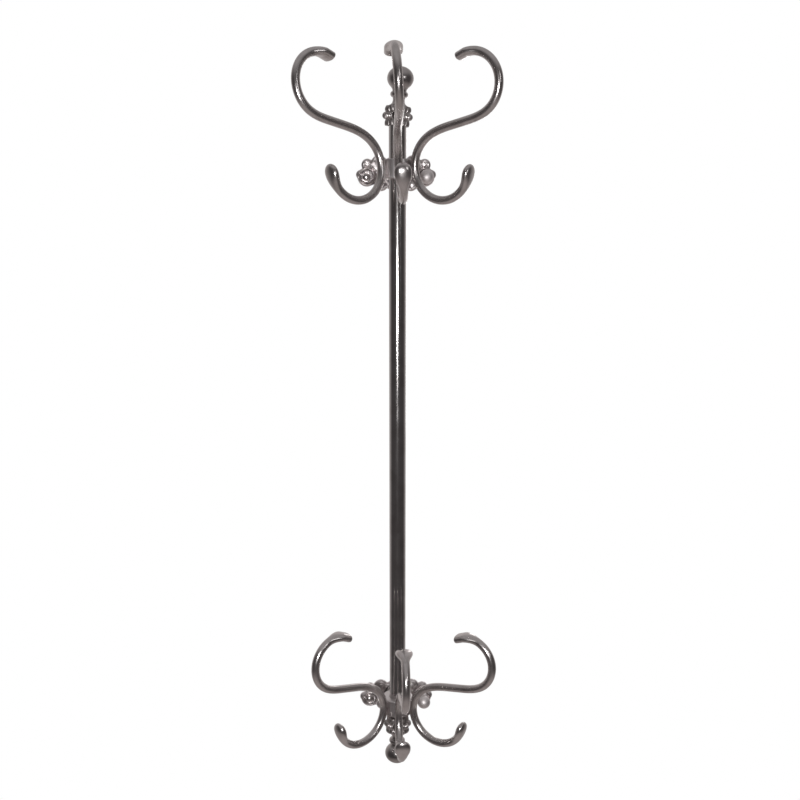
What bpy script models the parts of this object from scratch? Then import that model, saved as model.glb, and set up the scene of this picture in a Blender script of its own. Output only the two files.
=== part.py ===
"""Wall coat rack in chromed metal, in metres, +Z up.

A vertical tube stands off the wall on two cast plates.  A collar round the tube in front of
each plate carries three S-shaped hooks, and a leaf crown with a turned ball closes each end.
The wall is the plane Y = 0, the rack is on its -Y side, and the origin is the centre of the
upper plate's back face.
"""

import math

import bmesh
import bpy
from mathutils import Vector

MM = 0.001
GAP = 0.3 * MM                      # clearance between pieces that touch
CUT_PAST = 3 * MM                   # how far a cutter reaches past the surface it opens

# Overall layout
STANDOFF = 44 * MM                  # wall to tube axis
HUB_SPACING = 830 * MM              # upper collar centre to lower collar centre
HUB_RISE = 5 * MM                   # collar centre above its plate's centre
UPPER_SEAT = 59 * MM                # collar centre to the rim of the upper crown
LOWER_SEAT = 21 * MM                # collar centre to the rim of the lower crown

# Tube and the plugs in its ends
TUBE_R = 12.5 * MM
TUBE_WALL = 1.5 * MM
TUBE_IN_CROWN = 16 * MM             # length of tube that a crown covers
PLUG_LENGTH = 18 * MM

# Hook collar
COLLAR_R = 24 * MM
COLLAR_HEIGHT = 27 * MM
COLLAR_EDGE = 1.2 * MM
GRUB_R = 2.5 * MM
GRUB_LENGTH = 9.5 * MM
GRUB_DIRECTION = math.radians(116)  # between the right hook and the wall

# Hooks
ROD_R = 6 * MM
ROD_SIDES = 10
ROD_STEP = 12 * MM
LOWER_CURL_R = 44.5 * MM
LOWER_CURL_TURN = math.radians(165)
LOWER_TIP_RUN = 16 * MM             # straight end of the lower curl
RISE_R = 49 * MM
RISE_TURN = math.radians(78)
REACH_RUN = 69.5 * MM                 # between the rise and the upper curl, with half of each easing
RISE_EASE = 60 * MM                 # length over which the rise's bend fades into the run
CURL_EASE = 40 * MM                 # and over which the upper curl's bend grows
UPPER_CURL_R = 44 * MM
CREST_R = 39.7 * MM                 # the upper curl tightens past its outermost point
UPPER_CURL_TURN = math.radians(201)
TIP_SWELL = 40 * MM                 # from a tip's end to where it starts to widen
TIP_FULL = 14 * MM                  # and to where it has its full width
UPPER_TIP = (6.2 * MM, 12.4 * MM, 4.0 * MM)     # half thickness, half width, rounding of the end
LOWER_TIP = (6.3 * MM, 12.0 * MM, 13 * MM)

# Each hook's direction from straight ahead, its lean about its own screw and its droop, in degrees
UPPER_HOOKS = {"left": (-52.5, 3.8, 0), "front": (0.2, 4.6, 0), "right": (52.0, 5.5, 0)}
LOWER_HOOKS = {"left": (-50.5, -2.5, -1.0), "front": (0.8, -0.5, 3), "right": (53.0, 2.8, 1.5)}

# Screws that hold the hooks and the arm, put in from inside the collar
SCREW_R = 2 * MM
SCREW_HEAD_R = 3.5 * MM
SCREW_HEAD = 2.4 * MM
HOOK_SCREW_REACH = 33 * MM          # tube axis to the screw's end
ARM_DIRECTION = math.pi             # the arm leaves the collar's back, towards the wall

# Finials, as radii and as heights above the crown's rim
CROWN_BORE_R = 13.5 * MM
CROWN_FLOOR = TUBE_IN_CROWN + 1.2 * MM
CROWN_HEIGHT = 27 * MM
CROWN_WAIST_R = 13.4 * MM
CROWN_LEAF_R = 17.0 * MM            # lower row of leaves
CROWN_TIP_R = 20.6 * MM             # where the leaves turn out
CROWN_CURL_R = 17.6 * MM            # upper row of leaves
CROWN_LEAVES = 8
LEAF_DEPTH = 0.045                  # share of the radius that a leaf stands out
BALL_R = 18.8 * MM
BALL_RISE = 16.5 * MM               # half the ball's height
BALL_CENTRE = 65 * MM
COLLARINO_R = 10.5 * MM             # neck right under the ball
BEAD_R = 12.7 * MM
BEAD_HALF = 4.2 * MM
BEAD_CENTRE = 43.3 * MM
NECK_R = 8.8 * MM
NECK_CENTRE = 35 * MM
STUD_R = 3 * MM
STUD_IN_PLUG = 8 * MM
STUD_IN_BALL = 12 * MM
STUD_GRIP = TUBE_IN_CROWN - STUD_IN_PLUG / 2   # crown's rim to the middle of the stud's grip
UPPER_LEAN = math.radians(3.5)      # the finials don't sit quite straight on the tube
LOWER_LEAN = math.radians(1.0)

# Wall plate with its arm, and the wall screws
PLATE_DEPTH = 5 * MM
PLATE_CHAMFER = 1.2 * MM
RELIEF_DEPTH = 3 * MM
RELIEF_CHAMFER = 1.5 * MM
RELIEF_EDGE = 3.5 * MM              # how far the raised middle stays inside the outline
SUNK = 2 * MM                       # how far a piece joined to the plate starts inside it
MIDDLE_LOBES = (                    # x, z and radius of the discs that make the plate's middle
    (0, 0, 25 * MM),
    (25 * MM, 14 * MM, 12 * MM),
    (22 * MM, -15 * MM, 10.5 * MM),
)
EAR_LOBES = (
    (43 * MM, -5 * MM, 14 * MM),
    (42 * MM, 12 * MM, 9 * MM),
    (52 * MM, -2 * MM, 7 * MM),
)
OUTLINE_POINTS = 72
ARM_R = 8 * MM
ARM_FOOT_R = 13 * MM
ARM_FOOT_FLARE = 2 * MM
ARM_IN_SADDLE = 4 * MM              # spare length that the collar's seat cuts away
EAR_X = 44 * MM
EAR_Z = -5 * MM
WALL_SCREW_R = 2.2 * MM
WALL_SCREW_LENGTH = 30 * MM         # length in the wall
DOME_R = 7.5 * MM                   # low head of a left wall screw
DOME_HEIGHT = 4.5 * MM
KNOB_R = 10.5 * MM                  # ball head of a right wall screw
KNOB_CENTRE = 22 * MM               # wall to the ball's centre
KNOB_NECK_R = 6 * MM
KNOB_FOOT_R = 9 * MM
WALL_SCREW_TAPER = 6 * MM           # length of the screw's point

ROUND = 20                          # sides of a medium round piece
CHROME = (0.55, 0.53, 0.52, 1.0)
STEEL = (0.50, 0.50, 0.50, 1.0)


def clear_scene():
    """Removes what the file holds, and makes the two collections."""
    for item in list(bpy.data.objects):
        bpy.data.objects.remove(item)
    collections = []
    for name in ("wall_coat_rack", "cutters"):
        collection = bpy.data.collections.new(name)
        bpy.context.scene.collection.children.link(collection)
        collections.append(collection)
    return collections


def metal(name, colour, roughness):
    material = bpy.data.materials.new(name)
    material.use_nodes = True
    shader = material.node_tree.nodes["Principled BSDF"]
    shader.inputs["Base Color"].default_value = colour
    shader.inputs["Metallic"].default_value = 1.0
    shader.inputs["Roughness"].default_value = roughness
    return material


def add_object(name, mesh, material, parent, location=(0, 0, 0), rotation=(0, 0, 0)):
    item = bpy.data.objects.new(name, mesh)
    parts.objects.link(item)
    item.parent = parent
    item.location = location
    item.rotation_euler = rotation
    mesh.materials.append(material)
    return item


def as_cutter(item):
    """Turns a piece into a hidden cutter."""
    parts.objects.unlink(item)
    cutters.objects.link(item)
    item.hide_render = True
    item.display_type = "WIRE"
    return item


def add_empty(name, location, rotation=(0, 0, 0), parent=None):
    item = bpy.data.objects.new(name, None)
    parts.objects.link(item)
    item.parent = parent
    item.location = location
    item.rotation_euler = rotation
    return item


def boolean(item, other, operation="DIFFERENCE"):
    step = item.modifiers.new(operation.lower(), "BOOLEAN")
    step.operation = operation
    step.solver = "EXACT"
    step.object = other


def smooth(mesh, angle=35):
    mesh.shade_smooth()
    mesh.set_sharp_from_angle(angle=math.radians(angle))


def turned_mesh(name, profile, ring=False, steps=ROUND):
    """Turns (radius, height) points about Z.  They run down the outer side, and a ring closes."""
    mesh = bpy.data.meshes.new(name)
    points = [(radius, 0, height) for radius, height in profile]
    edges = [(i, i + 1) for i in range(len(points) - 1)]
    if ring:
        edges.append((len(points) - 1, 0))
    mesh.from_pydata(points, edges, [])
    guide = bpy.data.objects.new(name + "_guide", mesh)
    cutters.objects.link(guide)
    screw = guide.modifiers.new("turn", "SCREW")
    screw.steps = steps
    screw.render_steps = steps
    screw.use_merge_vertices = True
    screw.merge_threshold = 0.00001
    seen = guide.evaluated_get(bpy.context.evaluated_depsgraph_get())
    result = bpy.data.meshes.new_from_object(seen)
    result.name = name
    bpy.data.objects.remove(guide)
    smooth(result)
    return result


def arc(centre, radii, start, end, count):
    """Points along an ellipse's arc, in (radius, height), with angles in degrees."""
    points = []
    for i in range(count + 1):
        angle = math.radians(start + (end - start) * i / count)
        x = centre[0] + radii[0] * math.cos(angle)
        y = centre[1] + radii[1] * math.sin(angle)
        points.append((x, y))
    return points


def ring_profile(inner, outer, low, high, edge=0.0):
    """Cross-section of a plain ring, with its outer edges chamfered."""
    profile = [(outer - edge, high), (outer, high - edge), (outer, low + edge)]
    profile += [(outer - edge, low), (inner, low), (inner, high)]
    if edge == 0.0:
        profile = [(outer, high), (outer, low), (inner, low), (inner, high)]
    return profile


def screw_profile(shank, head, head_depth, start, end, spare=0.0):
    """A headed screw along Z, from its head at start to its tip at end, grown by spare."""
    neck = start + head_depth
    return [
        (0, end + spare),
        (shank + spare, end + spare),
        (shank + spare, neck + spare),
        (head + spare, neck + spare),
        (head + spare, start - spare),
        (0, start - spare),
    ]


def outward(direction):
    """Rotation that points a piece's Z away from the tube axis in a direction."""
    return (math.pi / 2, 0, direction)


# ---- Tube and its plugs ----

def build_tube():
    top = UPPER_HUB_Z + UPPER_SEAT + TUBE_IN_CROWN
    bottom = LOWER_HUB_Z - LOWER_SEAT - TUBE_IN_CROWN
    profile = ring_profile(TUBE_R - TUBE_WALL, TUBE_R, bottom, top)
    add_object("main_tube", turned_mesh("main_tube", profile, ring=True, steps=32), chrome, axis)
    bore = TUBE_R - TUBE_WALL - GAP
    for side, low in (("upper", top - PLUG_LENGTH), ("lower", bottom)):
        name = side + "_tube_plug"
        profile = ring_profile(STUD_R + GAP, bore, low, low + PLUG_LENGTH, edge=1 * MM)
        add_object(name, turned_mesh(name, profile, ring=True), steel, axis)


# ---- Finials ----

def crown_mesh(name):
    """A cup over the tube's end, with two rows of leaves that meet in a ring of tips."""
    outer = [
        (CROWN_WAIST_R, CROWN_HEIGHT),
        (CROWN_CURL_R, CROWN_HEIGHT - 2 * MM),
        (CROWN_CURL_R, CROWN_HEIGHT - 10 * MM),
        (CROWN_TIP_R, CROWN_HEIGHT - 14 * MM),
        (CROWN_TIP_R, CROWN_HEIGHT - 15.5 * MM),
        (CROWN_LEAF_R - 0.5 * MM, CROWN_HEIGHT - 20 * MM),
        (CROWN_LEAF_R, 1.5 * MM),
        (CROWN_LEAF_R - 1 * MM, 0),
    ]
    hole = STUD_R + GAP
    inner = [(CROWN_BORE_R, 0), (CROWN_BORE_R, CROWN_FLOOR), (hole, CROWN_FLOOR), (hole, CROWN_HEIGHT)]
    mesh = turned_mesh(name, outer + inner, ring=True, steps=3 * CROWN_LEAVES)
    for vertex in mesh.vertices:
        radius = math.hypot(vertex.co.x, vertex.co.y)
        if radius > CROWN_WAIST_R + 1 * MM:
            angle = math.atan2(vertex.co.y, vertex.co.x)
            share = 1 + LEAF_DEPTH * math.cos(CROWN_LEAVES * angle)
            vertex.co.x *= share
            vertex.co.y *= share
    return mesh


def ball_mesh(name):
    """Ball, neck, bead and a hollowed foot on the crown, with a blind hole for the stud."""
    foot = CROWN_HEIGHT + GAP
    neck_turn = math.degrees(math.asin(COLLARINO_R / BALL_R)) - 90
    profile = [(0, BALL_CENTRE + BALL_RISE)]
    profile += arc((0, BALL_CENTRE), (BALL_R, BALL_RISE), 90, neck_turn, 10)[1:]
    profile += arc((BEAD_R - BEAD_HALF, BEAD_CENTRE), (BEAD_HALF, BEAD_HALF), 75, -75, 4)
    profile.append((NECK_R, NECK_CENTRE))
    profile.append((NECK_R + 1 * MM, NECK_CENTRE - 4 * MM))
    profile.append((CROWN_WAIST_R - 0.6 * MM, foot))
    hole = STUD_R + GAP
    profile += [(hole, foot), (hole, foot + STUD_IN_BALL + GAP), (0, foot + STUD_IN_BALL + GAP)]
    return turned_mesh(name, profile, steps=ROUND)


def build_finial(side, location, rotation):
    """The pieces hang on an empty in the middle of the stud's grip in the plug."""
    holder = add_empty(side + "_finial_axis", location, rotation, axis)
    seat = (0, 0, -STUD_GRIP)
    name = side + "_finial_crown"
    add_object(name, crown_mesh(name), chrome, holder, seat)
    name = side + "_finial_ball"
    add_object(name, ball_mesh(name), chrome, holder, seat)
    low = TUBE_IN_CROWN - STUD_IN_PLUG
    high = CROWN_HEIGHT + STUD_IN_BALL
    profile = [(0, high), (STUD_R, high), (STUD_R, low), (0, low)]
    name = side + "_finial_stud"
    add_object(name, turned_mesh(name, profile, steps=12), steel, holder, seat)


# ---- Hook collars ----

def radial_screw(name, hub, direction, reach):
    """A screw from inside the collar, and the cutter that clears it."""
    start = TUBE_R + 2 * GAP
    plain = screw_profile(SCREW_R, SCREW_HEAD_R, SCREW_HEAD, start, reach)
    add_object(name, turned_mesh(name, plain, steps=12), steel, hub, rotation=outward(direction))
    grown = screw_profile(SCREW_R, SCREW_HEAD_R, SCREW_HEAD + CUT_PAST, start - CUT_PAST, reach, spare=GAP)
    cutter = add_object(
        name + "_cutter", turned_mesh(name, grown, steps=12), steel, hub, rotation=outward(direction)
    )
    return as_cutter(cutter)


def build_collar(side, hub, screw_cutters):
    half = COLLAR_HEIGHT / 2
    name = side + "_hook_collar"
    profile = ring_profile(TUBE_R + GAP, COLLAR_R, -half, half, edge=COLLAR_EDGE)
    collar = add_object(name, turned_mesh(name, profile, ring=True, steps=28), chrome, hub)
    for cutter in screw_cutters:
        boolean(collar, cutter)

    start = TUBE_R + 2 * GAP
    grub = [(0, start + GRUB_LENGTH), (GRUB_R, start + GRUB_LENGTH), (GRUB_R, start), (0, start)]
    name = side + "_collar_grub_screw"
    turn = outward(GRUB_DIRECTION)
    add_object(name, turned_mesh(name, grub, steps=12), steel, hub, rotation=turn)
    hole_r = GRUB_R + GAP
    near = TUBE_R - CUT_PAST
    far = COLLAR_R + CUT_PAST
    hole = [(0, far), (hole_r, far), (hole_r, near), (0, near)]
    cutter = add_object(name + "_cutter", turned_mesh(name, hole, steps=12), steel, hub, rotation=turn)
    boolean(collar, as_cutter(cutter))


# ---- Hooks ----

def hook_centreline():
    """Points (reach, height) of the S, from its upper tip to its lower tip."""
    seat = COLLAR_R + GAP + ROD_R

    def stretch(start, heading, length, bend=0.0, end_bend=0.0):
        """Points along a run whose curvature goes evenly from bend to end_bend, and its last heading."""
        count = max(2, round(length / ROD_STEP))
        piece = length / count
        place = Vector(start)
        points = []
        for i in range(count):
            half_turn = piece / 2 * (bend + (end_bend - bend) * (i + 0.5) / count)
            chord = piece if half_turn == 0 else piece * math.sin(half_turn) / half_turn
            heading += half_turn
            place = place + Vector((math.cos(heading), math.sin(heading))) * chord
            heading += half_turn
            points.append(place.copy())
        return points, heading

    start = Vector((seat, 0))
    down = 1 / LOWER_CURL_R
    lower, heading = stretch(start, -math.pi / 2, LOWER_CURL_R * LOWER_CURL_TURN, down, down)
    end, heading = stretch(lower[-1], heading, LOWER_TIP_RUN)

    over = -1 / RISE_R
    up = 1 / UPPER_CURL_R
    crest = 1 / CREST_R
    upper = [start]
    heading = math.pi / 2
    for length, bend, end_bend in (
        (RISE_R * RISE_TURN - RISE_EASE / 2, over, over),
        (RISE_EASE, over, 0.0),
        (REACH_RUN - (RISE_EASE + CURL_EASE) / 2, 0.0, 0.0),
        (CURL_EASE, 0.0, up),
        (UPPER_CURL_R * RISE_TURN - CURL_EASE / 2, up, up),
        (CREST_R * (UPPER_CURL_TURN - RISE_TURN), crest, crest),
    ):
        points, heading = stretch(upper[-1], heading, length, bend, end_bend)
        upper += points
    return list(reversed(upper)) + lower + end


def swell(distance, tip):
    """Half thickness and half width of the rod at a distance from its tip."""
    grow = max(0.0, min(1.0, (TIP_SWELL - distance) / (TIP_SWELL - TIP_FULL)))
    grow = grow * grow * (3 - 2 * grow)
    shut = min(1.0, distance / tip[2])
    shut = math.sqrt(1 - (1 - shut) ** 2)
    thick = ROD_R + (tip[0] - ROD_R) * grow
    wide = ROD_R + (tip[1] - ROD_R) * grow
    return thick * shut, wide * shut


def hook_mesh(name):
    """Lofts the rod's sections along the S, in the plane X = 0 with the reach towards -Y."""
    line = hook_centreline()
    ends = []
    for here, there, tip in ((line[0], line[1], UPPER_TIP), (line[-1], line[-2], LOWER_TIP)):
        toward = (there - here).normalized()
        ends.append([here + toward * tip[2] * share for share in (0.0, 0.06, 0.3)])
    line = ends[0] + line[1:-1] + list(reversed(ends[1]))
    distances = [0.0]
    for here, there in zip(line, line[1:]):
        distances.append(distances[-1] + (there - here).length)
    total = distances[-1]

    mesh = bmesh.new()
    rings = []
    for i, point in enumerate(line):
        before = line[max(i - 1, 0)]
        after = line[min(i + 1, len(line) - 1)]
        along = (after - before).normalized()
        side = Vector((-along.y, along.x))
        if distances[i] < total / 2:
            thick, wide = swell(distances[i], UPPER_TIP)
        else:
            thick, wide = swell(total - distances[i], LOWER_TIP)
        if i in (0, len(line) - 1):
            rings.append([mesh.verts.new((0, -point.x, point.y))])
            continue
        ring = []
        for k in range(ROD_SIDES):
            angle = 2 * math.pi * k / ROD_SIDES
            offset = side * (thick * math.cos(angle))
            reach = point.x + offset.x
            height = point.y + offset.y
            ring.append(mesh.verts.new((wide * math.sin(angle), -reach, height)))
        rings.append(ring)
    for one, two in zip(rings, rings[1:]):
        for k in range(ROD_SIDES):
            after = (k + 1) % ROD_SIDES
            if len(one) == 1:
                corners = (one[0], two[k], two[after])
            elif len(two) == 1:
                corners = (one[k], two[0], one[after])
            else:
                corners = (one[k], two[k], two[after], one[after])
            mesh.faces.new(corners)
    bmesh.ops.recalc_face_normals(mesh, faces=mesh.faces)
    result = bpy.data.meshes.new(name)
    mesh.to_mesh(result)
    mesh.free()
    smooth(result, 50)
    return result


def build_hook_set(side, hub, hooks):
    """Three hooks, their screws, the arm's screw and the collar they go through."""
    screw_cutters = []
    for place, (direction, lean, droop) in hooks.items():
        direction = math.radians(direction)
        name = side + "_" + place + "_hook"
        turn = (math.radians(droop), -math.radians(lean), direction)
        hook = add_object(name, hook_mesh(name), chrome, hub, rotation=turn)
        cutter = radial_screw(name + "_screw", hub, direction, HOOK_SCREW_REACH)
        boolean(hook, cutter)
        screw_cutters.append(cutter)
    arm_reach = STANDOFF - PLATE_DEPTH
    arm_cutter = radial_screw(side + "_arm_screw", hub, ARM_DIRECTION, arm_reach)
    screw_cutters.append(arm_cutter)
    build_collar(side, hub, screw_cutters)
    return arm_cutter


# ---- Wall plates ----

def lobed_outline(discs, inset=0.0):
    """Outline of the union of some discs and their mirror images, seen from the plate's centre."""
    lobes = [(x * sign, z, radius - inset) for x, z, radius in discs for sign in (1, -1)]
    points = []
    for i in range(OUTLINE_POINTS):
        angle = 2 * math.pi * i / OUTLINE_POINTS
        ray = Vector((math.cos(angle), math.sin(angle)))
        reach = 0.0
        for x, z, radius in lobes:
            centre = Vector((x, z))
            across = centre.x * ray.y - centre.y * ray.x
            if abs(across) < radius:
                reach = max(reach, centre.dot(ray) + math.sqrt(radius ** 2 - across ** 2))
        points.append(ray * reach)
    return points


def slab_mesh(name, outline, depth, chamfer):
    """A flat outline in X and Z, standing out of Y = 0 by depth, with its front edge chamfered."""
    mesh = bmesh.new()
    back = mesh.faces.new([mesh.verts.new((point.x, 0, point.y)) for point in outline])
    front = bmesh.ops.extrude_face_region(mesh, geom=[back])
    moved = [item for item in front["geom"] if isinstance(item, bmesh.types.BMVert)]
    bmesh.ops.translate(mesh, verts=moved, vec=(0, -depth, 0))
    edges = [edge for edge in mesh.edges if all(v.co.y < -depth / 2 for v in edge.verts)]
    bmesh.ops.bevel(mesh, geom=edges, offset=chamfer, segments=1, affect="EDGES")
    bmesh.ops.recalc_face_normals(mesh, faces=mesh.faces)
    result = bpy.data.meshes.new(name)
    mesh.to_mesh(result)
    mesh.free()
    smooth(result)
    return result


def wall_screw_mesh(name, place):
    """A screw into the wall, with a low dome on the left and a ball on a neck on the right."""
    head = PLATE_DEPTH + GAP
    if place == "left":
        profile = [(0, head + DOME_HEIGHT)]
        profile += arc((0, head), (DOME_R, DOME_HEIGHT), 90, 0, 5)[1:]
    else:
        neck_turn = math.degrees(math.asin(KNOB_NECK_R / KNOB_R)) - 90
        profile = [(0, KNOB_CENTRE + KNOB_R)]
        profile += arc((0, KNOB_CENTRE), (KNOB_R, KNOB_R), 90, neck_turn, 8)[1:]
        profile.append((KNOB_FOOT_R, head + 1 * MM))
        profile.append((KNOB_FOOT_R, head))
    profile.append((WALL_SCREW_R, head))
    profile.append((WALL_SCREW_R, WALL_SCREW_TAPER - WALL_SCREW_LENGTH))
    profile.append((0, -WALL_SCREW_LENGTH))
    return turned_mesh(name, profile, steps=16)


def build_plate(side, hub, arm_cutter):
    """The plate with its cast arm, whose saddle end fits the collar's back, and the wall screws."""
    name = side + "_wall_plate"
    centre = (0, STANDOFF, -HUB_RISE)
    outline = lobed_outline(MIDDLE_LOBES + EAR_LOBES)
    plate = add_object(name, slab_mesh(name, outline, PLATE_DEPTH, PLATE_CHAMFER), chrome, hub, centre)
    raised = lobed_outline(MIDDLE_LOBES, RELIEF_EDGE)
    raised = slab_mesh(name, raised, RELIEF_DEPTH + SUNK, RELIEF_CHAMFER)
    spot = (0, STANDOFF - PLATE_DEPTH + SUNK, -HUB_RISE)
    boolean(plate, as_cutter(add_object(name + "_relief", raised, chrome, hub, spot)), "UNION")

    front = PLATE_DEPTH + RELIEF_DEPTH
    arm_end = STANDOFF - COLLAR_R + ARM_IN_SADDLE
    arm = [
        (0, arm_end),
        (ARM_R, arm_end),
        (ARM_R, front + 1.5 * ARM_FOOT_FLARE),
        (ARM_FOOT_R - ARM_FOOT_FLARE, front + ARM_FOOT_FLARE),
        (ARM_FOOT_R, front),
        (ARM_FOOT_R, SUNK),
        (0, SUNK),
    ]
    arm = add_object(
        name + "_arm", turned_mesh(name, arm, steps=16), chrome, hub, (0, STANDOFF, 0), outward(0)
    )
    boolean(plate, as_cutter(arm), "UNION")
    saddle_r = COLLAR_R + GAP
    saddle = [(0, COLLAR_HEIGHT), (saddle_r, COLLAR_HEIGHT), (saddle_r, -COLLAR_HEIGHT), (0, -COLLAR_HEIGHT)]
    saddle = add_object(name + "_saddle", turned_mesh(name, saddle, steps=56), chrome, hub)
    boolean(plate, as_cutter(saddle))
    boolean(plate, arm_cutter)

    for place, sign in (("left", -1), ("right", 1)):
        spot = (sign * EAR_X, STANDOFF, EAR_Z - HUB_RISE)
        name = side + "_" + place + "_wall_screw"
        add_object(name, wall_screw_mesh(name, place), chrome, hub, spot, outward(0))
        hole_r = WALL_SCREW_R + GAP
        hole = [(0, STANDOFF), (hole_r, STANDOFF), (hole_r, -STANDOFF), (0, -STANDOFF)]
        hole = add_object(name + "_hole", turned_mesh(name, hole, steps=12), chrome, hub, spot, outward(0))
        boolean(plate, as_cutter(hole))


UPPER_HUB_Z = HUB_RISE
LOWER_HUB_Z = HUB_RISE - HUB_SPACING

parts, cutters = clear_scene()
chrome = metal("chrome", CHROME, 0.12)
steel = metal("steel", STEEL, 0.35)
axis = add_empty("rack_axis", (0, -STANDOFF, 0))

build_tube()
for level, hub_z, hook_table in (("upper", UPPER_HUB_Z, UPPER_HOOKS), ("lower", LOWER_HUB_Z, LOWER_HOOKS)):
    hub_empty = add_empty(level + "_hub", (0, 0, hub_z), parent=axis)
    build_plate(level, hub_empty, build_hook_set(level, hub_empty, hook_table))
build_finial("upper", (0, 0, UPPER_HUB_Z + UPPER_SEAT + STUD_GRIP), (0, UPPER_LEAN, 0))
build_finial("lower", (0, 0, LOWER_HUB_Z - LOWER_SEAT - STUD_GRIP), (0, math.pi + LOWER_LEAN, 0))
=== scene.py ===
import math

import bmesh
import bpy
import numpy as np
from mathutils import Matrix, Vector


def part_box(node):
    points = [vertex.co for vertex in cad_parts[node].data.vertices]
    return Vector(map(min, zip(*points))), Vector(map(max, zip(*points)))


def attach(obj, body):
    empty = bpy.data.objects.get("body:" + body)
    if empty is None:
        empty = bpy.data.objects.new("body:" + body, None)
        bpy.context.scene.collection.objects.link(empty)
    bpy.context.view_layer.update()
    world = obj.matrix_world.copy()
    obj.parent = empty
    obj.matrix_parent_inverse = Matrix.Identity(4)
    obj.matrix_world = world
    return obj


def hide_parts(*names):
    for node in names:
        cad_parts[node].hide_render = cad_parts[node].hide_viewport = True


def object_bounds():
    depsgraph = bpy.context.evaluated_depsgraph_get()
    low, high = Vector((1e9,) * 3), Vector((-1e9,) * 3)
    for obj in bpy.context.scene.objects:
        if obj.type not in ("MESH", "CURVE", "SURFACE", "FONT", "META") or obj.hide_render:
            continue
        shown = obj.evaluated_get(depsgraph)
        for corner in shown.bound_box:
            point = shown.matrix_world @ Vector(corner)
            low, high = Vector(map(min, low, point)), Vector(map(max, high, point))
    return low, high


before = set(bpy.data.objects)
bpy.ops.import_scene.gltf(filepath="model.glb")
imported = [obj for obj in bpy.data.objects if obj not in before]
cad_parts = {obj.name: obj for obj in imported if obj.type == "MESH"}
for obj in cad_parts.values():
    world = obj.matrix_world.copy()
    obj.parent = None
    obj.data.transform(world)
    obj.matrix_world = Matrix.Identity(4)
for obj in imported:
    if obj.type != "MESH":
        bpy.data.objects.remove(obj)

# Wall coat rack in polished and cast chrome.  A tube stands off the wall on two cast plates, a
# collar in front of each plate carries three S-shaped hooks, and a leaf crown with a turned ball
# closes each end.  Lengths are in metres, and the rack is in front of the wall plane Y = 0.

MM = 0.001
CAD_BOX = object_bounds()
MERGE_WITHIN = 0.000002             # points closer than this become one
SLIVER = 0.000001                   # edges shorter than this are dissolved

# Hook shape, as in the CAD
ROD_R = 6 * MM
LOWER_CURL_R = 44.5 * MM
LOWER_CURL_TURN = math.radians(165)
LOWER_TIP_RUN = 16 * MM
RISE_R = 49 * MM
RISE_TURN = math.radians(78)
REACH_RUN = 69.5 * MM
RISE_EASE = 60 * MM
CURL_EASE = 40 * MM
UPPER_CURL_R = 44 * MM
CREST_R = 39.7 * MM
UPPER_CURL_TURN = math.radians(201)
TIP_SWELL = 40 * MM
TIP_FULL = 14 * MM
TIP_SQUARE = 0.35                   # added to the section's power 2, which is an ellipse

# Half thickness, half width, and the length and power of the rounded end
UPPER_TIP = (6.2 * MM, 12.4 * MM, 4.0 * MM, 2.4)
LOWER_TIP = (6.3 * MM, 12.0 * MM, 13 * MM, 2.0)
HOOK_STEP = 1.5 * MM
HOOK_SIDES = 40

# Each hook's direction from straight ahead, its lean about its own screw and its droop, in degrees
HOOKS = {
    "upper": {"left": (-52.5, 3.8, 0), "front": (0.2, 4.6, 0), "right": (52.0, 5.5, 0)},
    "lower": {"left": (-50.5, -2.5, -1.0), "front": (0.8, -0.5, 3), "right": (53.0, 2.8, 1.5)},
}

# Camera, from the tube's axis and the upper collar's centre
CAMERA_DISTANCE = 1.5558
CAMERA_HEIGHT = -0.0574
CAMERA_PITCH = math.radians(12.27)
CAMERA_YAW = math.radians(3.0)
CAMERA_LENS = 47.29
CAMERA_SHIFT = (0.0031, 0.0481)

FLOOR_SIZE = 40.0                   # from the middle to each side
FLOOR_DROP = 0.75                   # from the rack's lowest point
LIGHT_AIM = 0.6                     # a lamp points at this share of its own height


# ---- Materials ----

PIT_SHADE = 0.45                    # a pit's colour, as a share of the dull colour
# Painted shade: the cast pieces' hollows are darkened towards this colour
RECESS_SHADE_COLOUR = (0.13, 0.115, 0.11, 1.0)


def node(tree, kind, **values):
    """Adds a shader node and sets its properties and its unlinked inputs."""
    item = tree.nodes.new(kind)
    for key, value in values.items():
        if hasattr(item, key):
            setattr(item, key, value)
        else:
            item.inputs[key.replace("_", " ")].default_value = value
    return item


def noise(tree, scale, detail=3.0, stretch=(1, 1, 1)):
    """Noise in object space, with its scale in cycles a metre."""
    place = node(tree, "ShaderNodeTexCoord")
    mapping = node(tree, "ShaderNodeMapping")
    mapping.inputs["Scale"].default_value = stretch
    tree.links.new(place.outputs["Object"], mapping.inputs["Vector"])
    texture = node(tree, "ShaderNodeTexNoise", Scale=scale, Detail=detail, Roughness=0.55)
    tree.links.new(mapping.outputs["Vector"], texture.inputs["Vector"])
    return texture.outputs["Fac"]


def spread(tree, source, low, high, to_low, to_high):
    """Maps a value's range onto another, smoothly and clamped."""
    item = node(tree, "ShaderNodeMapRange", interpolation_type="SMOOTHSTEP")
    item.inputs["From Min"].default_value = low
    item.inputs["From Max"].default_value = high
    item.inputs["To Min"].default_value = to_low
    item.inputs["To Max"].default_value = to_high
    tree.links.new(source, item.inputs["Value"])
    return item.outputs["Result"]


def mixed(tree, share, first, second):
    """Blends two colours, each a plain colour or a node's output, by a node's share of the second."""
    item = node(tree, "ShaderNodeMix", data_type="RGBA")
    tree.links.new(share, item.inputs["Factor"])
    for socket, value in (("A", first), ("B", second)):
        inputs = [one for one in item.inputs if one.name == socket and one.type == "RGBA"][0]
        if isinstance(value, tuple):
            inputs.default_value = value
        else:
            tree.links.new(value, inputs)
    return [one for one in item.outputs if one.type == "RGBA"][0]


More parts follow.
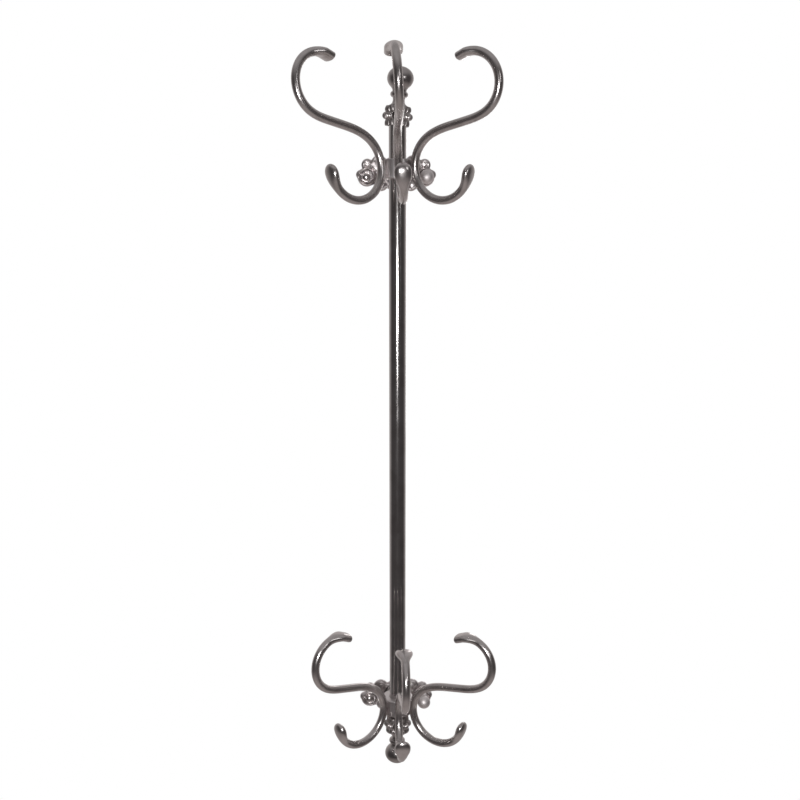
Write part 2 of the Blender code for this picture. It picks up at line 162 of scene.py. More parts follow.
def bumped(tree, height, distance):
    """The normal of a surface raised by up to distance, in metres."""
    item = node(tree, "ShaderNodeBump", Strength=1.0, Distance=distance)
    tree.links.new(height, item.inputs["Height"])
    return item.outputs["Normal"]


def new_material(name):
    """A fully metallic material, its node tree and its shader."""
    material = bpy.data.materials.new(name)
    material.use_nodes = True
    tree = material.node_tree
    shader = tree.nodes["Principled BSDF"]
    shader.inputs["Metallic"].default_value = 1.0
    return material, tree, shader


def chrome_material(name, bright, dull, roughness, wave, specks=0.0):
    """Plated metal: cloudy tarnish, faint scratches, hand-polished waves and pin-prick specks.

    roughness is a range, wave is the height of the waves, and specks is how dark the specks get.
    """
    material, tree, shader = new_material(name)
    cloud = spread(tree, noise(tree, 38.0, 5.0), 0.42, 0.68, 0.0, 1.0)
    colour = mixed(tree, cloud, bright, dull)
    pits = spread(tree, noise(tree, 700.0, 2.0), 0.69, 0.76, 0.0, specks)
    pit_colour = tuple(PIT_SHADE * value for value in dull[:3]) + (1.0,)
    colour = mixed(tree, pits, colour, pit_colour)
    tree.links.new(colour, shader.inputs["Base Color"])
    scratch = noise(tree, 260.0, 4.0, stretch=(1.0, 1.0, 0.12))
    tree.links.new(spread(tree, scratch, 0.35, 0.75, *roughness), shader.inputs["Roughness"])
    tree.links.new(bumped(tree, noise(tree, 40.0, 1.0), wave), shader.inputs["Normal"])
    return material


def cast_material(name, bright, dull, pebbles):
    """Plated casting: pebbled skin, with painted shade in the hollows that the mesh's shade attribute
    marks.
    """
    material, tree, shader = new_material(name)
    cloud = spread(tree, noise(tree, 60.0, 5.0), 0.40, 0.66, 0.0, 1.0)
    colour = mixed(tree, cloud, bright, dull)
    # Painted shade in the hollows, broken up by noise
    recess_shade = node(tree, "ShaderNodeAttribute", attribute_name="recess_shade")
    breakup = spread(tree, noise(tree, 420.0, 4.0), 0.30, 0.70, 0.55, 1.0)
    share = node(tree, "ShaderNodeMath", operation="MULTIPLY")
    tree.links.new(recess_shade.outputs["Fac"], share.inputs[0])
    tree.links.new(breakup, share.inputs[1])
    colour = mixed(tree, share.outputs[0], colour, RECESS_SHADE_COLOUR)
    tree.links.new(colour, shader.inputs["Base Color"])
    rough = spread(tree, noise(tree, 180.0, 4.0), 0.30, 0.75, 0.30, 0.42)
    tree.links.new(rough, shader.inputs["Roughness"])
    tree.links.new(bumped(tree, noise(tree, 200.0, 3.0), pebbles), shader.inputs["Normal"])
    return material


def steel_material(name):
    """Bare turned steel of the plugs, studs and screws."""
    material, tree, shader = new_material(name)
    cloud = spread(tree, noise(tree, 120.0, 4.0), 0.35, 0.70, 0.0, 1.0)
    colour = mixed(tree, cloud, (0.46, 0.45, 0.44, 1.0), (0.27, 0.24, 0.22, 1.0))
    tree.links.new(colour, shader.inputs["Base Color"])
    lines = noise(tree, 900.0, 3.0, stretch=(0.15, 0.15, 1.0))
    tree.links.new(spread(tree, lines, 0.3, 0.7, 0.28, 0.48), shader.inputs["Roughness"])
    tree.links.new(bumped(tree, lines, 0.00004), shader.inputs["Normal"])
    return material


POLISHED = chrome_material(         # the tube
    "polished_chrome",
    bright=(0.62, 0.595, 0.59, 1.0),
    dull=(0.53, 0.50, 0.49, 1.0),
    roughness=(0.13, 0.18),
    wave=0.00004,
    specks=0.5,
)
WORN = chrome_material(             # hooks and the left wall screws
    "worn_chrome",
    bright=(0.68, 0.64, 0.635, 1.0),
    dull=(0.57, 0.535, 0.525, 1.0),
    roughness=(0.23, 0.27),
    wave=0.00002,
)
PAINTED_SHADE_CHROME = chrome_material(              # balls: painted shade, a darker chrome than the hooks'
    "painted_shade_chrome",
    bright=(0.52, 0.485, 0.48, 1.0),
    dull=(0.42, 0.39, 0.38, 1.0),
    roughness=(0.20, 0.27),
    wave=0.00004,
    specks=0.3,
)
BRUSHED = chrome_material(          # collars
    "brushed_chrome",
    bright=(0.78, 0.74, 0.74, 1.0),
    dull=(0.68, 0.64, 0.64, 1.0),
    roughness=(0.32, 0.40),
    wave=0.00004,
    specks=0.2,
)
PAINTED_LIGHT_SATIN = chrome_material(            # the right wall screws: satin finish, with painted light making them paler than the left ones
    "painted_light_satin_chrome",
    bright=(0.95, 0.90, 0.90, 1.0),
    dull=(0.84, 0.79, 0.79, 1.0),
    roughness=(0.52, 0.60),
    wave=0.00005,
)
CAST = cast_material(               # wall plates
    "cast_chrome",
    bright=(0.82, 0.77, 0.77, 1.0),
    dull=(0.66, 0.61, 0.605, 1.0),
    pebbles=0.00012,
)
PAINTED_SHADE_CAST = cast_material(          # crowns: painted shade, a darker copy of the cast chrome
    "painted_shade_cast_chrome",
    bright=(0.60, 0.56, 0.555, 1.0),
    dull=(0.44, 0.41, 0.40, 1.0),
    pebbles=0.00010,
)
STEEL = steel_material("bare_steel")


# ---- Mesh helpers ----

def linked(name, data):
    """A new object in the scene."""
    item = bpy.data.objects.new(name, data)
    bpy.context.scene.collection.objects.link(item)
    return item


def clean_mesh(name, shells):
    """One mesh from (points, faces) shells, with doubled points merged and its normals outward."""
    points = []
    faces = []
    for shell_points, shell_faces in shells:
        start = len(points)
        points += [tuple(point) for point in shell_points]
        faces += [tuple(start + index for index in face) for face in shell_faces]
    mesh = bpy.data.meshes.new(name)
    mesh.from_pydata(points, [], faces)
    work = bmesh.new()
    work.from_mesh(mesh)
    bmesh.ops.remove_doubles(work, verts=work.verts, dist=MERGE_WITHIN)
    bmesh.ops.dissolve_degenerate(work, edges=work.edges, dist=SLIVER)
    bmesh.ops.recalc_face_normals(work, faces=work.faces)
    work.to_mesh(mesh)
    work.free()
    return mesh


def add_piece(name, shells, material, nodes, sharp=38.0, recess_shade=None):
    """Makes a visible piece that stands for some frame nodes.

    Edges over sharp degrees stay crisp.  The shade function gives painted shade, 0 to 1, by a point's
    depth in a hollow.
    """
    mesh = clean_mesh(name, shells)
    mesh.shade_smooth()
    mesh.set_sharp_from_angle(angle=math.radians(sharp))
    mesh.materials.append(material)
    if recess_shade is not None:
        # Painted shade amount, per point
        layer = mesh.attributes.new("recess_shade", "FLOAT", "POINT")
        layer.data.foreach_set("value", [recess_shade(vertex.co) for vertex in mesh.vertices])
    item = linked(name, mesh)
    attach(item, "root")
    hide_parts(*nodes)
    return item


def drill(item, shell):
    """Cuts a closed shell out of a piece."""
    cutter = linked("drill", clean_mesh("drill", [shell]))
    cut = item.modifiers.new("cut", "BOOLEAN")
    cut.operation = "DIFFERENCE"
    cut.solver = "EXACT"
    cut.object = cutter
    bpy.context.view_layer.update()
    evaluated = item.evaluated_get(bpy.context.evaluated_depsgraph_get())
    result = bpy.data.meshes.new_from_object(evaluated)
    item.modifiers.remove(cut)
    item.data = result
    bpy.data.objects.remove(cutter)


def grid(rows, columns, closed=False):
    """Faces of a grid of points whose rows wrap round.  If closed, its last row meets the first."""
    faces = []
    last = rows if closed else rows - 1
    for i in range(last):
        here = i * columns
        there = (i + 1) % rows * columns
        for k in range(columns):
            after = (k + 1) % columns
            faces.append((here + k, here + after, there + after, there + k))
    return faces


def turned(profile, matrix, steps=96, closed=False, shape=None):
    """Turns (radius, height) points about Z.  shape(radius, height, angle) gives a new radius."""
    points = []
    for radius, height in profile:
        for k in range(steps):
            angle = 2 * math.pi * k / steps
            reach = radius if shape is None else shape(radius, height, angle)
            spot = Vector((reach * math.cos(angle), reach * math.sin(angle), height))
            points.append(matrix @ spot)
    return points, grid(len(profile), steps, closed)


def arc(centre, radii, start, end, count=12):
    """Points along an ellipse's arc, in (radius, height), with angles in degrees."""
    points = []
    for i in range(count + 1):
        angle = math.radians(start + (end - start) * i / count)
        radius = centre[0] + radii[0] * math.cos(angle)
        height = centre[1] + radii[1] * math.sin(angle)
        points.append((radius, height))
    return points


def flowing(points, count=8):
    """A smooth curve through some points, with count steps between two of them."""
    ends = [points[0]] + list(points) + [points[-1]]
    result = []
    for i in range(len(points) - 1):
        before, start, end, after = (Vector(point) for point in ends[i:i + 4])
        for k in range(count):
            t = k / count
            spot = 0.5 * (
                2 * start + (end - before) * t + (2 * before - 5 * start + 4 * end - after) * t * t
                + (3 * start - before - 3 * end + after) * t * t * t
            )
            result.append(tuple(spot))
    result.append(tuple(points[-1]))
    return result


def centre_of(name):
    """Middle of a frame node's box."""
    low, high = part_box(name)
    return (low + high) / 2


def ease(value):
    """A smooth step from 0 to 1."""
    value = max(0.0, min(1.0, value))
    return value * value * (3 - 2 * value)


# ---- Tube and collars ----

tube_low, tube_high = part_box("main_tube")
TUBE_AXIS = (tube_low + tube_high) / 2
TUBE_R = (tube_high.x - tube_low.x) / 2
TUBE_WALL = 1.5 * MM
TUBE_EDGE = 0.4 * MM

COLLAR_GAP = 0.3 * MM               # between the tube and the bore
COLLAR_EDGE = 1.5 * MM
COLLAR_LIP = 0.5 * MM
GRUB_HOLE_R = 2.9 * MM
GRUB_HOLE_INSET = 0.4 * MM          # depth at which the hole's countersink ends


def build_tube():
    outer = [(TUBE_R - TUBE_EDGE, tube_high.z), (TUBE_R, tube_high.z - TUBE_EDGE)]
    rows = 80
    for i in range(1, rows):
        share = i / rows
        outer.append((TUBE_R, tube_high.z + (tube_low.z - tube_high.z) * share))
    outer += [(TUBE_R, tube_low.z + TUBE_EDGE), (TUBE_R - TUBE_EDGE, tube_low.z)]
    inner = [(TUBE_R - TUBE_WALL, tube_low.z), (TUBE_R - TUBE_WALL, tube_high.z)]
    matrix = Matrix.Translation((TUBE_AXIS.x, TUBE_AXIS.y, 0))
    shell = turned(outer + inner, matrix, steps=128, closed=True)
    add_piece("tube", [shell], POLISHED, ["main_tube"])


def build_collar(side):
    """A plain ring with softly rounded edges and the tapped hole over its grub screw."""
    low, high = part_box(side + "_hook_collar")
    centre = (low + high) / 2
    outer = (high.x - low.x) / 2
    half = (high.z - low.z) / 2
    bore = TUBE_R + COLLAR_GAP
    edge = COLLAR_EDGE
    lip = COLLAR_LIP
    profile = arc((outer - edge, half - edge), (edge, edge), 90, 0, 6)
    rows = 12
    for i in range(1, rows):
        profile.append((outer, (half - edge) * (1 - 2 * i / rows)))
    profile += arc((outer - edge, edge - half), (edge, edge), 0, -90, 6)
    profile += [(bore + lip, -half), (bore, lip - half), (bore, half - lip), (bore + lip, half)]
    shell = turned(profile, Matrix.Translation(centre), steps=120, closed=True)
    node_name = side + "_hook_collar"
    ring = add_piece(side + "_collar", [shell], BRUSHED, [node_name])
    to_grub = centre_of(side + "_collar_grub_screw") - centre
    outside = outer * 1.2
    wide = GRUB_HOLE_R + edge
    hole = [(0, outside), (wide, outside), (wide, outer + edge - GRUB_HOLE_INSET)]
    hole += [(GRUB_HOLE_R, outer - GRUB_HOLE_INSET), (GRUB_HOLE_R, TUBE_R - edge), (0, TUBE_R - edge)]
    aimed = Matrix.Translation(centre) @ to_grub.to_track_quat("Z", "X").to_matrix().to_4x4()
    drill(ring, turned(hole, aimed, steps=40))


# ---- Hooks ----

def hook_line(seat):
    """Points (reach, height) along the S, from its upper tip to its lower tip, through the seat."""

    def stretch(start, heading, length, bend=0.0, end_bend=0.0):
        """Points along a run whose curvature goes evenly from bend to end_bend, and its heading."""
        count = max(2, round(length / HOOK_STEP))
        piece = length / count
        place = Vector(start)
        points = []
        for i in range(count):
            half_turn = piece / 2 * (bend + (end_bend - bend) * (i + 0.5) / count)
            heading += half_turn
            place = place + Vector((math.cos(heading), math.sin(heading))) * piece
            heading += half_turn
            points.append(place.copy())
        return points, heading

    start = Vector((seat, 0))
    down = 1 / LOWER_CURL_R
    lower, heading = stretch(start, -math.pi / 2, LOWER_CURL_R * LOWER_CURL_TURN, down, down)
    end, heading = stretch(lower[-1], heading, LOWER_TIP_RUN)

    over = -1 / RISE_R
    up = 1 / UPPER_CURL_R
    crest = 1 / CREST_R
    upper = [start]
    heading = math.pi / 2
    for length, bend, end_bend in (     # rise, its easing, run, its easing, curl and crest
        (RISE_R * RISE_TURN - RISE_EASE / 2, over, over),
        (RISE_EASE, over, 0.0),
        (REACH_RUN - (RISE_EASE + CURL_EASE) / 2, 0.0, 0.0),
        (CURL_EASE, 0.0, up),
        (UPPER_CURL_R * RISE_TURN - CURL_EASE / 2, up, up),
        (CREST_R * (UPPER_CURL_TURN - RISE_TURN), crest, crest),
    ):
        points, heading = stretch(upper[-1], heading, length, bend, end_bend)
        upper += points
    return list(reversed(upper)) + lower + end


def tip_share(distance, tip):
    """Half thickness, half width and squareness of the rod at a distance from a tip."""
    thick, wide, rounding, square = tip
    grow = ease((TIP_SWELL - distance) / (TIP_SWELL - TIP_FULL))
    shut = min(1.0, distance / rounding)
    shut = (1 - (1 - shut) ** square) ** (1 / square)
    return (
        (ROD_R + (thick - ROD_R) * grow) * shut,
        (ROD_R + (wide - ROD_R) * grow) * shut,
        2.0 + TIP_SQUARE * grow,
    )


def dense_ends(line, length=14 * MM, count=22, crowding=1.8):
    """Puts points closer together where the tips round off."""

    def close_in(points):
        kept = [point for point in points if (point - points[0]).length > length]
        toward = (kept[0] - points[0]) / count
        fresh = [points[0] + toward * count * (k / count) ** crowding for k in range(count)]
        return fresh + kept

    line = close_in(line)
    return list(reversed(close_in(list(reversed(line)))))


def build_hook(side, place, hub, collar_r, direction, lean, droop):
    """A rod along the S, with superellipse sections that widen to flat tips.  Angles in degrees."""
    line = dense_ends(hook_line(collar_r + ROD_R))
    distances = [0.0]
    for here, there in zip(line, line[1:]):
        distances.append(distances[-1] + (there - here).length)
    total = distances[-1]
    turn = Matrix.Rotation(math.radians(direction), 4, "Z")
    turn = turn @ Matrix.Rotation(-math.radians(lean), 4, "Y")
    turn = turn @ Matrix.Rotation(math.radians(droop), 4, "X")
    matrix = Matrix.Translation(hub) @ turn
    points = []
    for i, spot in enumerate(line):
        along = (line[min(i + 1, len(line) - 1)] - line[max(i - 1, 0)]).normalized()
        across = Vector((-along.y, along.x))
        if distances[i] < total / 2:
            thick, wide, square = tip_share(distances[i], UPPER_TIP)
        else:
            thick, wide, square = tip_share(total - distances[i], LOWER_TIP)
        for k in range(HOOK_SIDES):
            angle = 2 * math.pi * k / HOOK_SIDES
            c = math.cos(angle)
            s = math.sin(angle)
            c = math.copysign(abs(c) ** (2 / square), c)
            s = math.copysign(abs(s) ** (2 / square), s)
            offset = across * thick * c
            points.append(matrix @ Vector((wide * s, -(spot.x + offset.x), spot.y + offset.y)))
    name = side + "_" + place + "_hook"
    shell = (points, grid(len(line), HOOK_SIDES))
    add_piece(side + "_" + place + "_s_hook", [shell], WORN, [name], sharp=60)


# ---- Finials ----

CROWN_HEIGHT = 27 * MM
CROWN_MIDDLE = CROWN_HEIGHT / 2
CUP_R = 15 * MM
TUBE_SOCKET = (13.0 * MM, 3 * MM)   # radius and depth
STUD_BORE_R = 6 * MM
# Painted shade in the crown's cup between the leaves
RECESS_SHADE_FROM = 17.6 * MM             # the cup turns dark from this radius inward,
RECESS_SHADE_OVER = 2.4 * MM              # over this distance
LEAVES = 8
LEAF_ROWS = (                       # height of the middle, spread, depth, and turn by a share of a leaf
    (3.8 * MM, 4.4 * MM, 3.2 * MM, 0.0),
    (13.4 * MM, 4.4 * MM, 6.5 * MM, 0.5),
    (22.6 * MM, 4.2 * MM, 4.2 * MM, 0.0),
)
BALL_CENTRE = 65 * MM               # from the crown's foot
BALL_RADII = (18.8 * MM, 16.5 * MM)


def leaf_row(height, angle, middle, spread_up, depth, offset):
    """How far one row of rounded leaf tips stands out, with a groove down each leaf's middle."""
    turn = (angle / (2 * math.pi) * LEAVES + offset) % 1.0
    across = abs(turn - 0.5) * 2
    lobe = max(0.0, 1 - across ** 2.2) ** 0.6
    groove = 0.16 * math.exp(-(across / 0.13) ** 2)
    side_vein = 0.08 * math.cos(across * math.pi * 4)
    body = math.sqrt(max(0.0, 1 - ((height - middle) / (1.25 * spread_up)) ** 2))
    return depth * body * (lobe - groove - side_vein * lobe)


def crown_radius(radius, height, angle):
    """Three rows of leaves on the cup: the middle one curls out furthest."""
    if radius < CUP_R:
        return radius
    return CUP_R + max(leaf_row(height, angle, *row) for row in LEAF_ROWS)


def build_finial(side):
    """The leaf crown over the tube's end, and the turned ball beyond it."""
    crown = centre_of(side + "_finial_crown")
    ball = centre_of(side + "_finial_ball")
    up = (ball - crown).normalized()
    turn = up.to_track_quat("Z", "Y").to_matrix().to_4x4()
    matrix = Matrix.Translation(crown - up * CROWN_MIDDLE) @ turn

    rows = 70
    outer = [(16 * MM, CROWN_HEIGHT * (1 - i / rows)) for i in range(rows + 1)]
    top = [(13.6 * MM, CROWN_HEIGHT + 0.4 * MM)]
    socket_r, socket_depth = TUBE_SOCKET
    bore = [(socket_r, 0), (socket_r, socket_depth), (STUD_BORE_R, socket_depth)]
    bore += [(STUD_BORE_R, CROWN_HEIGHT + 0.2 * MM)]
    shell = turned(top + outer + bore, matrix, steps=256, closed=True, shape=crown_radius)
    inverse = matrix.inverted()

    # How much painted shade a point of the cup gets, by its distance from the axis
    def recess_shade(spot):
        local = inverse @ spot
        reach = math.hypot(local.x, local.y)
        return max(0.0, min(1.0, (RECESS_SHADE_FROM - reach) / RECESS_SHADE_OVER))

    name = side + "_finial_crown"
    add_piece(side + "_crown", [shell], PAINTED_SHADE_CAST, [name], sharp=70, recess_shade=recess_shade)

    # The ball, its neck, a bead, and the flared foot with its flange
    profile = arc((0, BALL_CENTRE), BALL_RADII, 90, -50, 48)
    profile += flowing([(11.6 * MM, 51.6 * MM), (10.3 * MM, 49.6 * MM), (10.2 * MM, 48.4 * MM)], 4)
    profile += arc((8.5 * MM, 43.3 * MM), (4.2 * MM, 4.3 * MM), 72, -72, 20)
    foot = [(8.9 * MM, 38.6 * MM), (8.5 * MM, 35.5 * MM), (9.3 * MM, 31.5 * MM), (11.6 * MM, 28.8 * MM)]
    profile += flowing(foot, 6)
    profile += [(13.0 * MM, 28.4 * MM), (13.2 * MM, 27.4 * MM), (0, 27.4 * MM)]
    shell = turned(profile, matrix, steps=112)
    add_piece(side + "_ball", [shell], PAINTED_SHADE_CHROME, [side + "_finial_ball"], sharp=50)


# ---- Wall plates ----

PLATE_DEPTH = 5 * MM
PLATE_LOBES = (                     # x, z and radius of the discs of the outline's right half
    (0, 0, 25 * MM),
    (25 * MM, 14 * MM, 12 * MM),
    (22 * MM, -15 * MM, 10.5 * MM),
    (43 * MM, -5 * MM, 14 * MM),
    (42 * MM, 12 * MM, 9 * MM),
    (52 * MM, -2 * MM, 7 * MM),
)
PLATE_DOMES = (                     # x, z, radius and height of the domes on its face
    (25 * MM, 14 * MM, 8.0 * MM, 3.0 * MM),
    (24 * MM, -16 * MM, 6.5 * MM, 3.2 * MM),
    (14.5 * MM, -20 * MM, 3.4 * MM, 2.4 * MM),
    (13.5 * MM, 20 * MM, 3.2 * MM, 2.2 * MM),
    (42 * MM, 13.5 * MM, 5.0 * MM, 2.6 * MM),
    (0, 20.5 * MM, 3.4 * MM, 2.4 * MM),
    (0, -20.5 * MM, 3.4 * MM, 2.4 * MM),
)
EAR = (44 * MM, -5 * MM)
EAR_RING_R = 11.5 * MM
EAR_FLUTES = 18
PETALS = 16
PETAL_BAND = (12 * MM, 18 * MM)     # inner and outer radius of the petals round the arm
RIM_FROM_EDGE = 3.0 * MM
RIM_HEIGHT = 0.9 * MM
FIELD_SUNK = 1.3 * MM               # inside the rim
ARM_R = 8 * MM


def mirrored(table):
    """Each row, and its mirror image unless it is in the middle."""
    rows = []
    for row in table:
        rows.append(row)
        if row[0] != 0:
            rows.append((-row[0],) + tuple(row[1:]))
    return np.array(rows)


def plate_face(x, z):
    """Height of the cast face over the wall at points (x, z), and how much painted shade each gets in
    the hollows.
    """
    lobes = mirrored(PLATE_LOBES)
    inside = (lobes[:, 2, None] - np.hypot(x - lobes[:, 0, None], z - lobes[:, 1, None])).max(0)
    edge = np.clip(inside / (2.2 * MM), 0, 1)
    height = PLATE_DEPTH * (0.55 + 0.45 * np.sqrt(1 - (1 - edge) ** 2))
    sunk = FIELD_SUNK * np.clip((inside - 4.2 * MM) / (1.2 * MM), 0, 1)
    rim = RIM_HEIGHT * np.exp(-((inside - RIM_FROM_EDGE) / (1.1 * MM)) ** 2)
    height = height - sunk + rim
    # Painted shade: darkest inside the rim, less on the domes, petals, ear rings and flute ridges
    recess_shade = np.clip((inside - 4.0 * MM) / (1.5 * MM), 0, 1) * 0.8

    for row_x, row_z, radius, rise in mirrored(PLATE_DOMES):
        share = 1 - (np.hypot(x - row_x, z - row_z) / radius) ** 2
        dome = rise * np.sqrt(np.clip(share, 0, 1))
        height += dome
        recess_shade = np.where(share > 0.15, recess_shade * 0.1, recess_shade)

    reach = np.hypot(x, z)
    petal = np.abs(np.sin(np.arctan2(z, x) * PETALS / 2)) ** 0.6
    band = np.clip((reach - PETAL_BAND[0]) / (1.5 * MM), 0, 1)
    band = band * np.clip((PETAL_BAND[1] - reach) / (2.0 * MM), 0, 1)
    height += band * (0.4 + 1.9 * petal) * MM
    recess_shade = np.where(band > 0.2, recess_shade * (1 - 0.85 * petal), recess_shade)

    for sign in (-1, 1):
        ear = np.hypot(x - sign * EAR[0], z - EAR[1])
        ring = np.exp(-((ear - EAR_RING_R) / (1.2 * MM)) ** 2)
        height += 1.7 * MM * ring
        around = np.arctan2(z - EAR[1], x - sign * EAR[0])
        flute = np.abs(np.sin(around * (EAR_FLUTES / 2))) ** 0.7
        shell = np.clip((ear - 5 * MM) / (1 * MM), 0, 1)
        shell = shell * np.clip((EAR_RING_R - 1.5 * MM - ear) / MM, 0, 1)
        height += 0.9 * MM * shell * flute
        recess_shade = recess_shade * (1 - 0.9 * ring) * (1 - 0.6 * shell * flute)
    return height, recess_shade


def build_plate(side):
    """A polar sheet from the middle to the outline, its side wall and back, and the cast arm."""
    low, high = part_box(side + "_wall_plate")
    hub = centre_of(side + "_hook_collar")
    middle = Vector((hub.x, high.y, (low.z + high.z) / 2))
    lobes = mirrored(PLATE_LOBES)
    spokes = 360
    rings = 72
    angle = np.arange(spokes) * 2 * np.pi / spokes
    ray = np.stack([np.cos(angle), np.sin(angle)])
    across = lobes[:, 0, None] * ray[1] - lobes[:, 1, None] * ray[0]
    along = lobes[:, 0, None] * ray[0] + lobes[:, 1, None] * ray[1]
    half = np.sqrt(np.clip(lobes[:, 2, None] ** 2 - across ** 2, 0, None))
    outline = np.where(np.abs(across) < lobes[:, 2, None], along + half, 0).max(0)
    share = np.linspace(1, 0, rings) ** 0.8
    x = (share[:, None] * outline * ray[0]).ravel()
    z = (share[:, None] * outline * ray[1]).ravel()
    height = plate_face(x, z)[0]
    sheet_x = np.concatenate([np.zeros(spokes), x[:spokes], x])
    sheet_z = np.concatenate([np.zeros(spokes), z[:spokes], z])
    sheet_h = np.concatenate([np.zeros(2 * spokes), height])
    points = np.stack([middle.x + sheet_x, middle.y - sheet_h, middle.z + sheet_z], 1)
    sheet = (points.tolist(), grid(rings + 2, spokes))

    standoff = high.y - TUBE_AXIS.y
    collar_low, collar_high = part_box(side + "_hook_collar")
    end = standoff - (collar_high.x - collar_low.x) / 2 + 1.5 * MM
    profile = [(0, end), (ARM_R, end), (ARM_R, 14 * MM)]
    profile += flowing([(8.4 * MM, 12 * MM), (9.6 * MM, 10.2 * MM), (11.6 * MM, 9.2 * MM)], 6)
    profile += arc((11.8 * MM, 7.6 * MM), (1.6 * MM, 1.6 * MM), 80, -60, 10)
    profile += [(12 * MM, 3 * MM), (0, 3 * MM)]
    outward = Matrix.Translation((hub.x, high.y, hub.z))
    outward = outward @ Matrix.Rotation(math.pi / 2, 4, "X")
    arm = turned(profile, outward, steps=72)

    # Painted shade on the plate's cast face, none on the arm or at the wall
    def recess_shade(spot):
        if spot.y < middle.y - 8 * MM or spot.y > middle.y - MM:
            return 0.0
        value = plate_face(np.array([spot.x - middle.x]), np.array([spot.z - middle.z]))[1]
        return float(value[0])

    add_piece(
        side + "_cast_plate",
        [sheet, arm],
        CAST,
        [side + "_wall_plate"],
        sharp=50,
        recess_shade=recess_shade,
    )


SHANK_R = 2.2 * MM
SHANK_TAPER = 6 * MM
THREAD_PITCH = 1.6 * MM
THREAD_DEPTH = 0.5 * MM
THREAD_START = 1.5 * MM             # under the wall's face


def screw_shank(head, point):
    """Profile of a threaded shank that tapers to a point, and how its thread cuts the radius."""
    rows = 72
    profile = [(SHANK_R, head)]
    for i in range(rows):
        depth = point * i / rows
        taper = min(1.0, (point - depth) / SHANK_TAPER)
        profile.append((SHANK_R * taper, -depth))
    profile.append((0, -point))

    def thread(radius, height, angle):
        if height > -THREAD_START or radius == 0:
            return radius
        turn = (height / THREAD_PITCH + angle / (2 * math.pi)) % 1.0
        return radius - THREAD_DEPTH * min(1.0, radius / SHANK_R) * abs(2 * turn - 1)

    return profile, thread


def build_wall_screw(side, place):
    """A ball-headed screw with a necked foot on the right, a low dome with a bead on the left.

    Both are called knob screws.
    """
    name = side + "_" + place + "_wall_screw"
    low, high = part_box(name)
    matrix = Matrix.Translation(((low.x + high.x) / 2, 0, (low.z + high.z) / 2))
    matrix = matrix @ Matrix.Rotation(math.pi / 2, 4, "X")
    head_r = (high.x - low.x) / 2
    front = -low.y
    seat = PLATE_DEPTH - 1 * MM
    if place == "right":
        centre = front - head_r
        profile = arc((0, centre), (head_r, head_r), 90, -56, 36)
        neck = [(5.9 * MM, centre - 9.4 * MM), (6.2 * MM, 10.2 * MM), (7.6 * MM, 8.2 * MM)]
        profile += flowing(neck, 6)
        profile += arc((7.6 * MM, 6.8 * MM), (1.4 * MM, 1.3 * MM), 70, -70, 8)
        profile += [(8.0 * MM, 5.4 * MM), (8.0 * MM, seat)]
        # Painted light: the right screws get a paler chrome than the left ones
        material = PAINTED_LIGHT_SATIN
    else:
        bead = (1.2 * MM, 0.9 * MM)
        dome_r = head_r - bead[0]
        profile = arc((0, PLATE_DEPTH), (dome_r, front - PLATE_DEPTH), 90, 18, 24)
        profile += arc((dome_r, PLATE_DEPTH + bead[1]), bead, 80, -80, 8)
        profile += [(dome_r, seat)]
        material = WORN
    shank, thread = screw_shank(seat, high.y)
    shell = turned(profile + shank, matrix, steps=72, shape=thread)
    piece = side + "_" + place + "_knob_screw"
    add_piece(piece, [shell], material, [name], sharp=50)


# ---- Camera, floor and light ----

def build_camera():
    """The photograph's camera, which looks down at the rack."""
    hub = centre_of("upper_hook_collar")
    camera = linked("camera", bpy.data.cameras.new("camera"))
    back = Vector((-math.sin(CAMERA_YAW), -math.cos(CAMERA_YAW), 0)) * CAMERA_DISTANCE
    camera.location = Vector((TUBE_AXIS.x, TUBE_AXIS.y, hub.z + CAMERA_HEIGHT)) + back
    camera.rotation_euler = (math.pi / 2 - CAMERA_PITCH, 0, -CAMERA_YAW)
    camera.data.sensor_width = 36
    camera.data.lens = CAMERA_LENS
    camera.data.shift_x, camera.data.shift_y = CAMERA_SHIFT
    camera.data.clip_start = 0.05
    bpy.context.scene.camera = camera
    return camera


def build_floor():
    """A plain pale floor well under the rack.  It is seen, but lights and shades nothing."""
    mesh = bpy.data.meshes.new("floor")
    size = FLOOR_SIZE
    level = CAD_BOX[0].z - FLOOR_DROP
    corners = [(-size, -size, level), (size, -size, level), (size, size, level), (-size, size, level)]
    mesh.from_pydata(corners, [], [(0, 1, 2, 3)])
    floor = linked("floor", mesh)
    material = bpy.data.materials.new("pale_floor")
    material.use_nodes = True
    tree = material.node_tree
    shader = tree.nodes["Principled BSDF"]
    shader.inputs["Base Color"].default_value = (0.0, 0.0, 0.0, 1.0)
    shader.inputs["Roughness"].default_value = 1.0
    shader.inputs["Specular IOR Level"].default_value = 0.0
    shader.inputs["Emission Color"].default_value = (1.0, 1.0, 1.0, 1.0)
    shader.inputs["Emission Strength"].default_value = 1.0
    mesh.materials.append(material)
    floor.visible_glossy = False
    floor.visible_diffuse = False
    floor.visible_shadow = False


def build_light(name, location, target, size, energy):
    """A white rectangular lamp that the camera doesn't see."""
    data = bpy.data.lights.new(name, "AREA")
    data.shape = "RECTANGLE"
    data.size, data.size_y = size
    data.energy = energy
    light = linked(name, data)
    light.location = location
    light.rotation_euler = (target - location).to_track_quat("-Z", "Y").to_euler()
    light.visible_camera = False


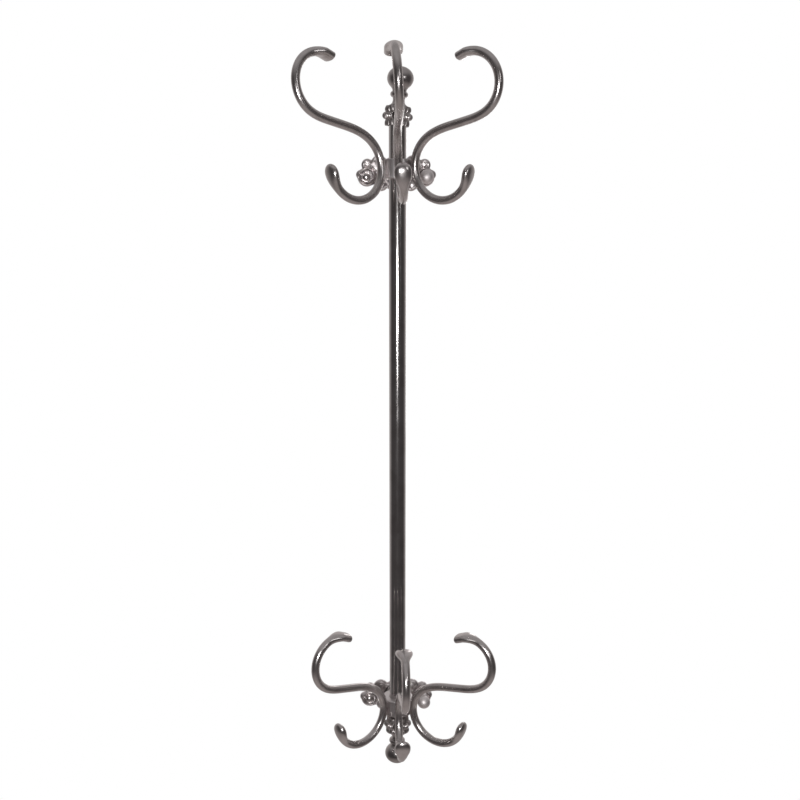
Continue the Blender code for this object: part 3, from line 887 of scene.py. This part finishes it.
def build_lights(camera):
    """The four lamps, placed round the tube from the camera's side."""
    room = Matrix.Translation(TUBE_AXIS) @ Matrix.Rotation(-CAMERA_YAW, 4, "Z")
    level_z = camera.location.z - TUBE_AXIS.z
    for name, azimuth, distance, height, size, energy in (
        ("flash", -1.5, 1.55, level_z - 0.26, (0.13, 0.20), 9.5),
        ("reflector", -14.0, 1.60, level_z - 0.20, (0.30, 0.60), 0.12),
        ("window", 36.0, 2.20, level_z + 0.42, (0.42, 0.70), 2.2),
        ("back", 165.0, 2.00, 0.10, (0.25, 1.00), 1.6),
    ):
        turn = math.radians(azimuth)
        spot = room @ Vector((math.sin(turn) * distance, -math.cos(turn) * distance, height))
        build_light(name, spot, room @ Vector((0, 0, height * LIGHT_AIM)), size, energy)


def build_world():
    """A dim studio, with a pale wall behind the rack and a white surround seen directly."""
    world = bpy.data.worlds.new("studio")
    bpy.context.scene.world = world
    world.use_nodes = True
    tree = world.node_tree
    tree.nodes.clear()
    place = node(tree, "ShaderNodeTexCoord")
    split = node(tree, "ShaderNodeSeparateXYZ")
    tree.links.new(place.outputs["Generated"], split.inputs[0])
    dark = (0.065, 0.060, 0.060, 1.0)
    wall = spread(tree, split.outputs["Y"], -0.15, 1.0, 0.0, 1.0)
    colour = mixed(tree, wall, dark, (0.55, 0.52, 0.51, 1.0))
    ceiling = spread(tree, split.outputs["Z"], 0.20, 0.95, 0.0, 1.0)
    colour = mixed(tree, ceiling, colour, (0.36, 0.35, 0.35, 1.0))
    ground = spread(tree, split.outputs["Z"], -0.95, -0.38, 1.0, 0.0)
    colour = mixed(tree, ground, colour, (0.34, 0.31, 0.30, 1.0))
    seen = node(tree, "ShaderNodeLightPath")
    colour = mixed(tree, seen.outputs["Is Camera Ray"], colour, (1.0, 1.0, 1.0, 1.0))
    background = node(tree, "ShaderNodeBackground")
    tree.links.new(colour, background.inputs["Color"])
    output = node(tree, "ShaderNodeOutputWorld")
    tree.links.new(background.outputs[0], output.inputs["Surface"])


# ---- Assembly ----

build_tube()
for level in ("upper", "lower"):
    hub_centre = centre_of(level + "_hook_collar")
    collar_low, collar_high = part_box(level + "_hook_collar")
    build_collar(level)
    for hook_place, angles in HOOKS[level].items():
        build_hook(level, hook_place, hub_centre, (collar_high.x - collar_low.x) / 2, *angles)
    build_finial(level)
    build_plate(level)
    for ear_place in ("left", "right"):
        build_wall_screw(level, ear_place)

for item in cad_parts.values():
    item.data.materials.clear()
    item.data.materials.append(STEEL)

build_floor()
build_world()
build_lights(build_camera())
bpy.context.scene.view_settings.view_transform = "Standard"
